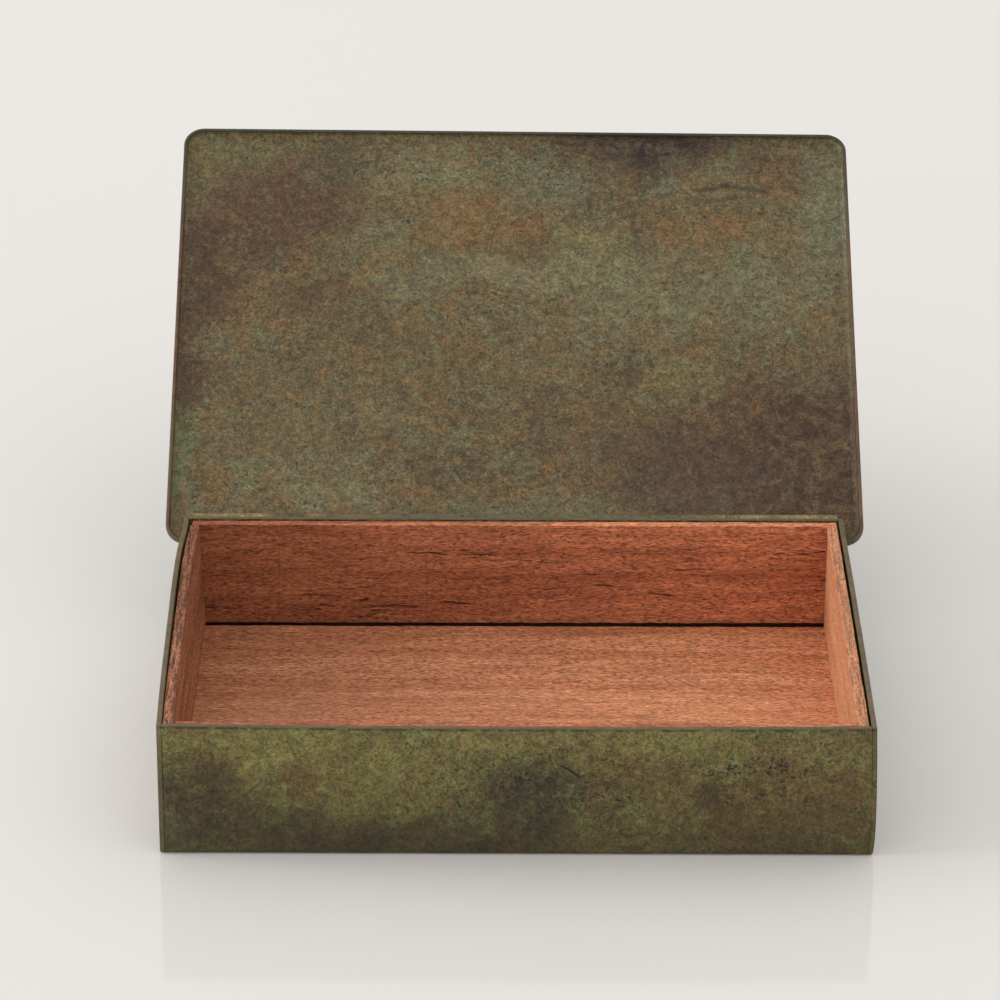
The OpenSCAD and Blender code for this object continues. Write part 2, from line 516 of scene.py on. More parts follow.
def front_patch(x, z, reach_x, reach_z, colour, strength):
    """A patch on the front wall, from the middle of its lower edge."""
    return patch(x, TRAY_LO.y / MM, z, reach_x, THROUGH, reach_z, colour, strength)


def hinge_patch(x, reach_x, colour, strength):
    """A patch all round the hinge."""
    axis = AXIS / MM
    return patch(x, axis.y, axis.z, reach_x, THROUGH, THROUGH, colour, strength)


PALE_GREEN = tone(119, 115, 83)
LIME = tone(120, 112, 72)
RED_BROWN = tone(88, 63, 45)
UMBER = tone(73, 48, 34)
GOLD_GREEN = tone(126, 120, 68)

LID_PATCHES = [
    lid_patch(-62, -40, 24, 18, RED_BROWN, 1.0),
    lid_patch(-82, -22, 13, 18, UMBER, 0.75),
    lid_patch(-86, 6, 8, 18, UMBER, 0.6),
    lid_patch(-52, -10, 17, 9, tone(98, 76, 50), 0.75),
    lid_patch(-76, -58, 14, 8, tone(98, 96, 60), 0.7),
    lid_patch(-46, -56, 14, 7, tone(84, 76, 54), 0.6),
    lid_patch(-24, -50, 13, 8, PALE_GREEN, 0.6),
    lid_patch(6, -48, 13, 9, VERDIGRIS, 0.75),
    lid_patch(-8, -37, 22, 9, OCHRE, 0.65),
    lid_patch(19, -30, 9, 9, LIME, 0.8),
    lid_patch(4, -20, 24, 8, PALE_GREEN, 0.75),
    lid_patch(-24, -16, 12, 9, VERDIGRIS, 0.5),
    lid_patch(36, -14, 26, 14, PALE_GREEN, 0.55),
    lid_patch(50, -34, 17, 9, OCHRE, 0.5),
    lid_patch(72, -53, 13, 6, RED_BROWN, 0.55),
    lid_patch(82, -36, 9, 24, VERDIGRIS, 0.8),
    lid_patch(64, -12, 16, 12, VERDIGRIS, 0.6),
    lid_patch(46, 12, 12, 7, LIME, 0.75),
    lid_patch(-20, 8, 34, 10, tone(104, 88, 56), 0.5),
    lid_patch(-62, 24, 18, 16, tone(102, 92, 62), 0.5),
    lid_patch(35, -62, 24, 11, tone(44, 31, 30), 1.0),
    lid_patch(76, 38, 38, 31, UMBER, 1.0),
    lid_patch(44, 44, 26, 17, tone(80, 60, 45), 0.9),
    lid_patch(22, 30, 18, 12, tone(98, 78, 52), 0.5),
    lid_patch(-86, 36, 6, 18, tone(96, 104, 66), 0.8),
    lid_patch(-46, 50, 18, 6, PALE_GREEN, 0.6),
    lid_patch(-2, 53, 16, 5, VERDIGRIS, 0.5),
]

FRONT_PATCHES = [
    front_patch(-52, 29, 24, 8, GOLD_GREEN, 0.85),
    front_patch(-30, 19, 14, 12, GOLD_GREEN, 0.65),
    front_patch(-4, 30, 30, 6, tone(124, 114, 68), 0.8),
    front_patch(42, 30, 18, 5, GOLD_GREEN, 0.9),
    front_patch(68, 27, 16, 8, tone(110, 96, 58), 0.6),
    front_patch(62, 13, 24, 12, tone(112, 90, 52), 0.7),
    front_patch(28, 21, 12, 7, tone(100, 76, 44), 0.7),
    front_patch(-74, 14, 16, 14, tone(62, 50, 32), 0.9),
    front_patch(-48, 6, 24, 8, tone(66, 54, 34), 0.85),
    front_patch(3, 15, 13, 11, tone(56, 52, 36), 0.95),
    front_patch(46, 16, 7, 5, tone(66, 52, 34), 0.7),
    front_patch(-18, 4, 30, 5, tone(66, 58, 36), 0.7),
]


def lid_material():
    """Patina with a darker lip, a worn rim and corners, and a few scratches on the inner face."""
    graph = Graph("lid_patina")
    colour, roughness, height = patina(graph, LID_PATCHES, 3.1, LID_TONES, flat_z=30)
    x, y, z = graph.split(graph.place)[:3]
    corner = Vector((LID_HALF_W - LID_CORNER_R, LID_HALF_D - LID_CORNER_R, 0))
    flat = graph.join(x, y, 0.0)
    beyond = graph.vector("SUBTRACT", graph.vector(
        "ABSOLUTE", graph.vector("SUBTRACT", flat, (LID_MID.x, LID_MID.y, 0))), corner)
    reach = graph.vector("LENGTH", graph.vector("MAXIMUM", beyond, (0, 0, 0)))
    from_rim = graph.calc("SUBTRACT", LID_CORNER_R, reach)
    broken = graph.noise(graph.place, 260, 3, 0.6)
    fine = graph.noise(graph.place, 900, 2, 0.6)
    inner = graph.remap(z, LID_INNER_Z + 0.25 * LID_T, LID_INNER_Z + 0.1 * LID_T)

    crevice = graph.band(from_rim, LID_T + LID_FILLET_R, 0.10 * MM, 0.25 * MM)
    right = graph.remap(x, LID_HALF_W - 6 * MM, LID_HALF_W - 3 * MM)
    crevice = graph.calc("MULTIPLY", graph.calc("MULTIPLY", crevice, inner),
                         graph.calc("MULTIPLY", right, graph.remap(fine, 0.45, 0.60)))
    colour = graph.mix(graph.calc("MULTIPLY", crevice, 0.45), colour, tone(108, 118, 108))

    lip = graph.remap(z, LID_LO.z + 0.5 * MM, LID_LO.z + 0.2 * MM)
    colour = graph.mix(graph.calc("MULTIPLY", lip, 0.7), colour, tone(62, 62, 54))
    crest = graph.remap(z, LID_LO.z + 0.16 * MM, LID_LO.z + 0.05 * MM)
    worn_side = graph.remap(y, LID_LO.y + 12 * MM, LID_LO.y + 40 * MM)
    crest = graph.calc("MULTIPLY", crest, graph.remap(broken, 0.36, 0.56, 0.1, 0.6))
    crest = graph.calc("MULTIPLY", crest, worn_side)
    bend = graph.calc("MULTIPLY", graph.remap(from_rim, 0.55 * MM, 0.15 * MM),
                      graph.remap(z, LID_HI.z - 0.9 * MM, LID_HI.z - 0.3 * MM))
    bend = graph.calc("MULTIPLY", bend, graph.remap(broken, 0.46, 0.62))
    colour = graph.mix(graph.calc("MULTIPLY", bend, 0.6), colour, COPPER)
    colour = graph.mix(crest, colour, graph.mix(fine, COPPER, tone(128, 98, 70)))

    marks = [
        ((10, -60.5), (18, -60), 0.3, SOOT_AND_SHADE, 0.6),
        ((48, -45), (56, -47), 0.3, SOOT_AND_SHADE, 0.55),
        ((56, -47), (67, -45), 0.3, SOOT_AND_SHADE, 0.5),
        ((50, -41.5), (60, -43), 0.4, SOOT_AND_SHADE, 0.3),
        ((-83.2, 58), (-85, 47), 0.10, COPPER, 0.75),
        ((-85, 47), (-85.2, 36), 0.08, tone(112, 116, 104), 0.5),
    ]
    jitter = graph.noise(graph.place, 300, 3, output="Color")
    jitter = graph.vector("SUBTRACT", jitter, (0.5,) * 3)
    traced = graph.vector("ADD", graph.place, graph.vector("SCALE", jitter, scale=3.2 * MM))
    for start, end, half_width, mark_colour, strength in marks:
        points = [(u * MM, v * MM, LID_INNER_Z) for u, v in (start, end)]
        line = graph.stroke(traced, *points, half_width * MM, 0.8 * MM)
        line = graph.calc("MULTIPLY", line, graph.remap(broken, 0.35, 0.5, 0.3, strength))
        colour = graph.mix(line, colour, mark_colour)
    bare = graph.calc("MAXIMUM", crest, bend)
    metallic = graph.remap(bare, 0.0, 1.0, 0.2, 0.6)
    return graph.finish(colour, roughness, height, 0.035 * MM, metallic, 0.4)


def case_material():
    """Patina whose colour is darker towards the bottom, with a worn rim and edges, a seam at each
    front corner, black specks and a few scratches.
    """
    graph = Graph("case_patina")
    colour, roughness, height = patina(graph, FRONT_PATCHES, 7.4, CASE_TONES)
    x, y, z = graph.split(graph.place)[:3]
    broken = graph.noise(graph.place, 240, 3, 0.6)
    fine = graph.noise(graph.place, 900, 2, 0.6)

    # The colour is darker towards the bottom.
    low = graph.remap(z, 24 * MM, 1 * MM, 0.0, 0.50)
    colour = graph.mix(low, colour, tone(58, 50, 36))
    rim = graph.remap(z, RIM_Z - 0.26 * MM, RIM_Z - 0.12 * MM)
    colour = graph.mix(graph.calc("MULTIPLY", rim, 0.85), colour,
                       graph.mix(graph.remap(broken, 0.4, 0.6), tone(92, 82, 66), RIM_BROWN))
    under_rim = graph.band(z, RIM_Z - 0.55 * MM, 0.10 * MM, 0.30 * MM)
    under_rim = graph.calc("MULTIPLY", under_rim, graph.remap(broken, 0.42, 0.56, 0.1, 0.8))
    colour = graph.mix(under_rim, colour, SOOT_AND_SHADE)

    edge = graph.edge_distance(CASE_LO, CASE_HI)
    worn = graph.calc("MULTIPLY", graph.remap(edge, 0.75 * MM, 0.35 * MM),
                      graph.remap(broken, 0.50, 0.66))
    bottom = graph.remap(z, 2.2 * MM, 1.2 * MM)
    worn = graph.calc("MULTIPLY", worn, graph.remap(bottom, 0.0, 1.0, 0.35, 0.8))
    colour = graph.mix(worn, colour, graph.mix(fine, COPPER, tone(128, 98, 66)))

    across = graph.calc("ABSOLUTE", x)
    seam = graph.band(across, CASE_HALF_W - WALL, 0.06 * MM, 0.22 * MM)
    seam = graph.calc("MULTIPLY", seam, graph.remap(broken, 0.4, 0.6, 0.1, 0.5))
    filled = graph.remap(x, -1 * MM, 1 * MM, 1.0, 0.25)       # the right seam hardly shows
    seam = graph.calc("MULTIPLY", seam, filled)
    colour = graph.mix(seam, colour, SOOT_AND_SHADE)
    plate = graph.remap(across, CASE_HALF_W - WALL, CASE_HALF_W - WALL + 0.15 * MM)
    front = graph.remap(y, TRAY_LO.y + 0.5 * MM, TRAY_LO.y + 0.2 * MM)
    plate = graph.calc("MULTIPLY", graph.calc("MULTIPLY", plate, filled), front)
    colour = graph.mix(graph.calc("MULTIPLY", plate, 0.5), colour, tone(112, 100, 78))

    specks = graph.remap(graph.noise(graph.place, 1100, 3, 0.65), 0.54, 0.60)
    flat = graph.stretched(graph.place, 1, 0, 1)
    speckled = [(6, 20, 26, 15), (56, 22, 28, 14)]
    for centre_x, centre_z, reach_x, reach_z in speckled:
        away = graph.vector("SUBTRACT", flat, (centre_x * MM, 0, centre_z * MM))
        away = graph.stretched(away, 1 / (reach_x * MM), 0, 1 / (reach_z * MM))
        zone = graph.remap(graph.vector("LENGTH", away), 0.3, 1.1, 1.0, 0.0)
        zone = graph.calc("MULTIPLY", zone, graph.remap(broken, 0.42, 0.56))
        colour = graph.mix(graph.calc("MULTIPLY", specks, zone), colour, SOOT_AND_SHADE)

    marks = [
        ((10.5, 23.7), (14.6, 20.8), 0.16, 0.95),
        ((-71, 16.6), (-66, 16.5), 0.10, 0.40),
        ((32.4, 29.8), (33.6, 28.2), 0.35, 0.5),
    ]
    for start, end, half_width, strength in marks:
        points = [(u * MM, 0, v * MM) for u, v in (start, end)]
        line = graph.stroke(flat, *points, half_width * MM, 0.3 * MM)
        line = graph.calc("MULTIPLY", line, front)
        colour = graph.mix(graph.calc("MULTIPLY", line, strength), colour, SOOT_AND_SHADE)
    metallic = graph.remap(worn, 0.0, 1.0, 0.2, 0.6)
    return graph.finish(colour, roughness, height, 0.035 * MM, metallic, 0.4)


def hinge_material(name, worn_and_highlight_patches, seed):
    """Duller patina, rubbed to brass where the hinge is handled and where it turns. The patches
    given to it are partly worn brass and partly a painted highlight along the top of the barrel.
    """
    graph = Graph(name)
    colour, roughness, height = patina(graph, worn_and_highlight_patches, seed, LID_TONES)
    fine = graph.noise(graph.stretched(graph.place, 1, 3, 3), 700, 3, 0.6)
    rubbed = graph.remap(fine, 0.50, 0.68, 0.0, 0.5)
    colour = graph.mix(rubbed, colour, graph.mix(fine, BRASS, RIM_BROWN))
    metallic = graph.remap(rubbed, 0.0, 0.5, 0.3, 0.7)
    return graph.finish(colour, roughness, height, 0.02 * MM, metallic, 0.5)


# ---------------------------------------------------------------- wood


PORE = tone(92, 44, 26)
STREAK = tone(52, 27, 19)


def wood_material(name, axis, light, dark, streaks, seed, ripple=1.0, contrast=1.0,
                  figure=0.0, cracks=0.3, painted_gap_shade=0.0, painted_side_light=0.0, painted_top_light=0.0):
    """Red-brown cigar-box cedar with its grain along axis: bands, open pores, streaks, fibres.

    ripple is how much the grain waves, contrast how strongly the fibres show, and figure how
    strongly the pores of the back half gather in slanting rows. cracks opens the sawn upper
    edge, painted_top_light paints its upward faces paler as a painted highlight, and dirt is
    painted
    shade on the lower edge, down in the joint with the floor. faded is painted light and shade:
    the wood is painted paler to the right and darker to the left.
    """
    graph = Graph(name)

    def squeezed(vector, share):
        factors = [1.0, 1.0, 1.0]
        factors[axis] = share
        return graph.stretched(vector, *factors)

    def spread(value, low, high, amount):
        return graph.shade(colour, graph.remap(value, low, high),
                           1 - amount * contrast, 1 + amount * contrast)

    moved = graph.vector("ADD", graph.place, (seed, seed * 0.7, -seed))
    bend = graph.noise(moved, 45, 2, 0.5, output="Color")
    bend = graph.vector("SUBTRACT", bend, (0.5,) * 3)
    wave = graph.noise(moved, 260, 2, 0.5, output="Color")
    wave = graph.vector("SUBTRACT", wave, (0.5,) * 3)
    place = graph.vector("ADD", moved, graph.vector("SCALE", bend, scale=3.0 * ripple * MM))
    place = graph.vector("ADD", place, graph.vector("SCALE", wave, scale=0.8 * ripple * MM))

    bands = graph.noise(squeezed(place, 0.05), 170, 3, 0.6)
    colour = graph.mix(graph.remap(bands, 0.36, 0.64), dark, light)
    tint = graph.noise(squeezed(place, 0.10), 800, 3, 0.6)
    colour = spread(tint, 0.36, 0.64, 0.15)
    fibre = graph.noise(squeezed(place, 0.22), 2600, 3, 0.7)
    colour = spread(fibre, 0.37, 0.63, 0.40)

    pores = graph.remap(graph.noise(squeezed(place, 0.30), 2600, 2, 0.55), 0.55, 0.66)
    if figure:
        x, y, z = graph.split(place)[:3]
        slanted = graph.join(graph.calc("ADD", x, graph.calc("MULTIPLY", y, 0.9)), y, z)
        dots = graph.remap(graph.noise(squeezed(slanted, 0.5), 1500, 2, 0.5), 0.54, 0.64)
        depth = graph.split(graph.place)[1]
        back = graph.remap(depth, 2 * MM, 22 * MM, 0.0, figure)
        pores = graph.calc("MAXIMUM", graph.calc("MULTIPLY", pores, 0.8),
                           graph.calc("MULTIPLY", dots, back))
    colour = graph.mix(graph.calc("MULTIPLY", pores, 0.70 * contrast), colour, PORE)
    long_cells = graph.vector("ADD", squeezed(place, 0.045), (1.0, 2.0, 3.0))
    vessel = graph.remap(graph.noise(long_cells, 1350, 3, 0.6), 0.58, 0.65)
    sparse = graph.remap(graph.noise(squeezed(place, 0.1), 200, 2, 0.5), 0.46, 0.58)
    vessel = graph.calc("MULTIPLY", graph.calc("MULTIPLY", vessel, sparse), streaks)
    colour = graph.mix(vessel, colour, STREAK)
    # Painted light and shade: the wood is painted darker to the left, where the left wall shades
    # the inside, and paler to the right.
    across = graph.remap(graph.split(graph.place)[0], -CASE_HALF_W, CASE_HALF_W)
    colour = graph.shade(colour, across, 1 - painted_side_light, 1 + painted_side_light)
    # Painted shade: the lower edge, down in the gap over the floor, is darkened where shade falls.
    crevice = graph.remap(graph.split(graph.place)[2], FLOOR_HI.z + BACK_BOARD_GAP,
                          FLOOR_HI.z + 0.6 * BACK_BOARD_GAP, 0.0, painted_gap_shade)
    colour = graph.mix(crevice, colour, SOOT_AND_SHADE)

    normal = graph.split(graph.add("ShaderNodeTexCoord").outputs["Normal"])
    upper = graph.remap(normal[2], 0.6, 0.9)
    # Painted highlight: faces that look upwards are painted paler.
    colour = graph.shade(colour, upper, 1.0, 1 + painted_top_light)
    split_open = graph.remap(graph.noise(squeezed(place, 0.06), 1500, 3, 0.6), 0.50, 0.57)
    split_open = graph.calc("MULTIPLY", split_open, graph.calc("MULTIPLY", upper, cracks))
    colour = graph.mix(split_open, colour, STREAK)
    end = graph.remap(graph.calc("ABSOLUTE", normal[axis]), 0.6, 0.8)
    dots = graph.cells(graph.place, 1600)
    end_grain = graph.mix(graph.remap(dots, 0.15, 0.4), tone(84, 44, 28), tone(140, 84, 56))
    colour = graph.mix(end, colour, end_grain)
    roughness = graph.remap(pores, 0.0, 1.0, 0.62, 0.80)
    height = graph.calc("SUBTRACT", graph.calc("MULTIPLY", fibre, 0.6), pores)
    height = graph.calc("SUBTRACT", height, graph.calc("MAXIMUM", vessel, split_open))
    return graph.finish(colour, roughness, height, 0.07 * MM, 0.0, 0.25)


# ---------------------------------------------------------------- pieces of the case


def right_belly(point):
    """How far the right end of the front stands out there: most below half height."""
    share = clamped(point.z / RIM_Z) ** 0.6
    near = clamped((point.x / CASE_HALF_W - 0.7) / 0.25)
    return RIGHT_BELLY * 4 * share * (1 - share) * near


def left_bulge(point):
    """How far the left side plate stands out there: most near the rim, behind the middle."""
    share = point.y / CASE_HALF_D
    skewed = max(0.0, 1 - share ** 4) * (0.72 + 0.55 * share)
    skewed = max(skewed, LEFT_CORNER * share)
    return LEFT_BULGE * skewed * max(0.0, point.z / RIM_Z) ** LEFT_BULGE_RISE


def standing(point, seed):
    """A little uneven, like hammered sheet, but flush with the table and with the shut lid."""
    point += wobble(point, 90, SHEET_ROUGH, seed)
    point.z = min(max(point.z, TRAY_LO.z + STAND_GAP), RIM_Z)
    return point


def left_corner(point):
    """How far the left end of the back stands out there, together with the side plate."""
    near = clamped((-point.x / CASE_HALF_W - 0.6) / 0.35)
    return left_bulge(point) * near


def bowed(point):
    """The front wall of the folded sheet bows out a little towards its rim."""
    if point.y < TRAY_LO.y + 2 * WALL:
        share = max(0.0, 1 - (point.x / TRAY_HI.x - 0.1) ** 2)
        point.y -= FRONT_BOW * share * (point.z / RIM_Z) ** FRONT_BOW_RISE
    point.x += right_belly(point) - left_corner(point)
    return standing(point, 1.0)


def left_bulged(point):
    point.x -= left_bulge(point)
    return standing(point, 4.0)


def right_bulged(point):
    share = max(0.0, 1 - (point.y / CASE_HALF_D) ** 2)
    point.x += RIGHT_BULGE * share * point.z / RIM_Z + right_belly(point)
    return standing(point, 5.0)


def make_tray(material):
    y, top = TRAY_HI.y, TRAY_HI.z
    inside = y - WALL
    corners = [
        (-y, 0, FOLD_OUTER_R), (y, 0, FOLD_OUTER_R),
        (y, top, SHEET_EDGE), (inside, top, SHEET_EDGE),
        (inside, WALL, FOLD_INNER_R), (-inside, WALL, FOLD_INNER_R),
        (-inside, top, SHEET_EDGE), (-y, top, SHEET_EDGE),
    ]
    path = rounded_path(corners, GRID_STEP)
    bm = prism(path, TRAY_LO.x, TRAY_HI.x, SEAM_EDGE, GRID_STEP, along_x)
    make_piece("folded_tray", bm, "case_tray", material, bowed)


def make_side(name, node, low, high, material, shape):
    corners = [
        (low.y, low.z, FOLD_OUTER_R), (high.y, low.z, FOLD_OUTER_R),
        (high.y, high.z, SHEET_EDGE * 2), (low.y, high.z, SHEET_EDGE * 2),
    ]
    path = rounded_path(corners, GRID_STEP)
    bm = prism(path, low.x, high.x, SHEET_EDGE, high.x - low.x, along_x)
    cut_grid(bm, 1, low.y, high.y, GRID_STEP)
    cut_grid(bm, 2, low.z, high.z, GRID_STEP)
    make_piece(name, bm, node, material, shape)


def make_strip(name, node, low, high, material, shut):
    """Flat hinge strip with soft edges and slightly uneven long sides."""
    corners = [
        (low.y, low.z, STRIP_EDGE), (high.y, low.z, STRIP_EDGE),
        (high.y, high.z, STRIP_EDGE), (low.y, high.z, STRIP_EDGE),
    ]
    path = rounded_path(corners, 1.5 * MM, 3)
    bm = prism(path, low.x, high.x, STRIP_EDGE, HINGE_STEP, along_x)
    make_piece(name, bm, node, material,
               lambda p: p + wobble(p, 160, STRIP_ROUGH, 8.0), shut)


def spoke(k, count):
    """Direction of the k-th of count even points round the axis."""
    angle = 2 * math.pi * k / count
    return Vector((math.cos(angle), math.sin(angle)))


def knuckle_path(foot_turn, foot_end, foot_half, outer, count=72):
    """Outline of a rolled knuckle about the axis, with a foot reaching out to foot_end."""
    path = []
    for k in range(count):
        off_foot = 2 * math.pi * k / count - foot_turn
        forward, aside = math.cos(off_foot), abs(math.sin(off_foot))
        reach = outer
        if forward > 0:
            reach = max(outer, min(foot_end / forward, foot_half / max(aside, 1e-6)))
        path.append(spoke(k, count) * reach)
    return path


def make_knuckle(name, node, low, high, foot, material, slot, shut):
    """Tube on the hinge axis with a bore for the pin. foot is (turn, end) from the axis."""
    outside = knuckle_path(foot[0], foot[1], KNUCKLE_FOOT_HALF, KNUCKLE_R)
    count = len(outside)
    bore_ring = [spoke(k, count) * (PIN_R + BORE_GAP) for k in range(count)]

    def around_axis(x, ring):
        return [Vector((x, AXIS.y + p.x, AXIS.z + p.y)) for p in ring]

    bm = bmesh.new()
    rings = []
    for x, shrink in end_stations(low.x, high.x, KNUCKLE_EDGE, HINGE_STEP):
        rings.append(around_axis(x, inset(outside, shrink)))
    rings += [around_axis(high.x, bore_ring), around_axis(low.x, bore_ring)]
    rows = skin(bm, rings, capped=False)
    for i in range(count):
        bm.faces.new((rows[-1][i - 1], rows[-1][i], rows[0][i], rows[0][i - 1]))
    make_piece(name, bm, node, material,
               lambda p: p + wobble(p, 140, KNUCKLE_ROUGH, 5.0), shut)


def make_pin(material):
    """Round pin whose two ends are slightly domed by the hammer."""
    count = steps = 40
    dome = [(0.02, 0.0), (0.45, 0.05), (0.75, 0.25), (0.93, 0.6)]   # (radius, height), as shares
    length = PIN_HI.x - PIN_LO.x
    straight = length - 2 * PIN_DOME
    stations = [(share, height * PIN_DOME) for share, height in dome]
    stations += [(1.0, PIN_DOME + straight * k / steps) for k in range(steps + 1)]
    stations += [(share, length - height * PIN_DOME) for share, height in reversed(dome)]
    rings = []
    for share, along in stations:
        spokes = [spoke(k, count) * PIN_R * share for k in range(count)]
        rings.append([Vector((PIN_LO.x + along, AXIS.y + p.x, AXIS.z + p.y)) for p in spokes])
    bm = bmesh.new()
    skin(bm, rings)
    make_piece("pin", bm, "hinge_pin", material)


# ---------------------------------------------------------------- pieces of the lid


def lid_ring(shrink, z):
    """Rounded rectangle of the lid, moved in by shrink, at the height z."""
    x, y, radius = LID_HALF_W - shrink, LID_HALF_D - shrink, LID_CORNER_R - shrink
    steps = 12
    ring = []
    for side_x, side_y, start in ((1, 1, 0), (-1, 1, 90), (-1, -1, 180), (1, -1, 270)):
        centre = Vector((side_x * (x - radius), side_y * (y - radius)))
        for k in range(steps + 1):
            angle = math.radians(start + 90 / steps * k)
            ring.append(centre + Vector((math.cos(angle), math.sin(angle))) * radius)
    return [Vector((LID_MID.x + p.x, LID_MID.y + p.y, z)) for p in ring]


def lid_warp(point):
    """The lid is slightly out of square and to the left, and its flat face waves a little."""
    share = (LID_HI.y - point.y) / (LID_HI.y - LID_LO.y)
    point.y += LID_SKEW * share * point.x / LID_HALF_W
    away = min(LID_HALF_W - abs(point.x), LID_HALF_D - abs(point.y - LID_MID.y))
    wave = abs(noise.noise(Vector((point.x * 22, point.y * 22, 3.0)))) * LID_WAVE
    point.z += wave * clamped(away / LID_FLAT_RIM)
    point.x -= LID_SHIFT
    return point


def make_lid(material):
    quarter = [math.pi / 2 * k / 5 for k in range(6)]
    bend = [(LID_BEND_R * (1 - math.sin(a)), LID_HI.z - LID_BEND_R * (1 - math.cos(a)))
            for a in quarter]
    lip_out = [(LID_LIP_R * (1 - math.cos(a)), LID_LO.z + LID_LIP_R * (1 - math.sin(a)))
               for a in quarter]
    lip_in = [(LID_T - LID_LIP_R * (1 - math.sin(a)), LID_LO.z + LID_LIP_R * (1 - math.cos(a)))
              for a in quarter]
    fillet = [
        (LID_T + LID_FILLET_R * (1 - math.cos(a)),
         LID_INNER_Z - LID_FILLET_R * (1 - math.sin(a)))
        for a in quarter
    ]
    bm = bmesh.new()
    skin(bm, [lid_ring(*station) for station in bend + lip_out + lip_in + fillet])
    cut_grid(bm, 0, LID_LO.x, LID_HI.x, GRID_STEP)
    cut_grid(bm, 1, LID_LO.y, LID_HI.y, GRID_STEP)
    make_piece("lid_pan", bm, "lid_sheet", material, lid_warp, shut=True)


# ---------------------------------------------------------------- pieces of the liner


def board_shape(seed, change=None):
    """Sawn and sanded board: its faces are a little uneven, and its edges a little ragged."""
    def shape(point):
        if change:
            point = change(point)
        point += wobble(point, 210, BOARD_ROUGH, seed)
        return point + wobble(point, 60, BOARD_WAVE, seed + 3)
    return shape


def board_corners(u_low, v_low, u_high, v_high):
    """The four eased corners of a plain board, seen along its grain."""
    corners = ((u_low, v_low), (u_high, v_low), (u_high, v_high), (u_low, v_high))
    return [(u, v, BOARD_EDGE) for u, v in corners]


def make_board(name, node, axis, material, seed, change=None, corners=None):
    """Board with its grain along axis, 0 for x or 1 for y."""
    low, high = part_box(node)
    place = (along_x, along_y)[axis]
    u, v = ((1, 2), (2, 0))[axis]
    corners = corners or board_corners(low[u], low[v], high[u], high[v])
    path = rounded_path(corners, 2.5 * MM, 3)
    bm = prism(path, low[axis], high[axis], BOARD_EDGE, BOARD_STEP, place)
    make_piece(name, bm, node, material, board_shape(seed, change))


def rebated_corners():
    """The back board, whose lower front edge is cut back so that it stands off the floor."""
    low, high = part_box("liner_back")
    step = FLOOR_HI.z + BACK_BOARD_GAP
    outline = [
        (low.y + BACK_BOARD_REBATE, low.z), (high.y, low.z), (high.y, high.z),
        (low.y, high.z), (low.y, step), (low.y + BACK_BOARD_REBATE, step),
    ]
    return [(y, z, BOARD_EDGE / 2) for y, z in outline]


def back_fitted(point):
    """Ends a little short of the left wall, over a gap that widens to the right."""
    share = max(0.0, 1 - (point.x - TRAY_LO.x) / BACK_BOARD_SHORT_REACH)
    point.x += BACK_BOARD_SHORT * share - left_corner(point)
    if abs(point.z - FLOOR_HI.z - BACK_BOARD_GAP) < BOARD_EDGE:
        ragged = noise.noise(Vector((point.x * 400, 7.0, 1.0))) * BACK_BOARD_RAGGED
        point.z += BACK_BOARD_TAPER * point.x / FLOOR_HI.x + ragged
    return point


def left_fitted(point):
    """Leans out with the bulge of the left wall."""
    point.x -= LEFT_BOARD_FOLLOW * left_bulge(point) + LEFT_BOARD_LEAN * point.z / RIM_Z
    return point


def front_fitted(point):
    """Its upper edge is planed a little lower than the other boards'."""
    if point.z > RIM_Z / 2:
        point.z -= FRONT_BOARD_DROP
    return point


def floor_fitted(point):
    """Meets the side boards."""
    point.x += FLOOR_SPREAD * point.x / FLOOR_HI.x
    return point


# ---------------------------------------------------------------- build

case_patina = case_material()
lid_patina = lid_material()

make_tray(case_patina)
make_side("left_side_plate", "case_side_left", LEFT_LO, LEFT_HI, case_patina, left_bulged)
make_side("right_side_plate", "case_side_right", RIGHT_LO, RIGHT_HI, case_patina, right_bulged)

strip_patina = hinge_material("strip_patina", [], seed=11.0)
# The brass patch on the left knuckle is partly worn brass and partly a painted highlight along the
# top of the barrel.
left_patina = hinge_material("left_knuckle_patina", [
    hinge_patch(-72, 11, BRASS, 0.9),
    hinge_patch(-60, 5, DARK_BROWN, 0.5),
], seed=12.0)
centre_patina = hinge_material("centre_knuckle_patina", [
    hinge_patch(-49, 5, tone(150, 108, 76), 0.9),
    hinge_patch(52.5, 2, tone(160, 126, 84), 0.9),
    hinge_patch(0, 40, tone(94, 92, 72), 0.8),
], seed=13.0)
# The pale brass patch on the right knuckle is partly worn brass and partly a painted highlight
# along the top of the barrel.
right_patina = hinge_material("right_knuckle_patina", [
    hinge_patch(67, 16, tone(150, 136, 84), 1.0),
], seed=14.0)

make_strip("back_hinge_strip", "case_hinge_strip", STRIP_LO, STRIP_HI, strip_patina,
           shut=False)
case_foot = (math.pi, AXIS.y - LEFT_KNUCKLE_LO.y)
make_knuckle("left_knuckle", "hinge_knuckle_left", *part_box("hinge_knuckle_left"), case_foot,
             left_patina, "hinge_metal", shut=False)
make_knuckle("right_knuckle", "hinge_knuckle_right", *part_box("hinge_knuckle_right"), case_foot,
             right_patina, "hinge_metal", shut=False)
make_pin(strip_patina)

make_lid(lid_patina)
make_strip("lid_strip", "lid_hinge_strip", LID_STRIP_LO, LID_STRIP_HI, strip_patina,
           shut=True)
lid_foot = (math.pi / 2, CENTRE_HI.z - AXIS.z)
make_knuckle("centre_knuckle", "hinge_knuckle_centre", CENTRE_LO, CENTRE_HI, lid_foot,
             centre_patina, "hinge_metal", shut=True)

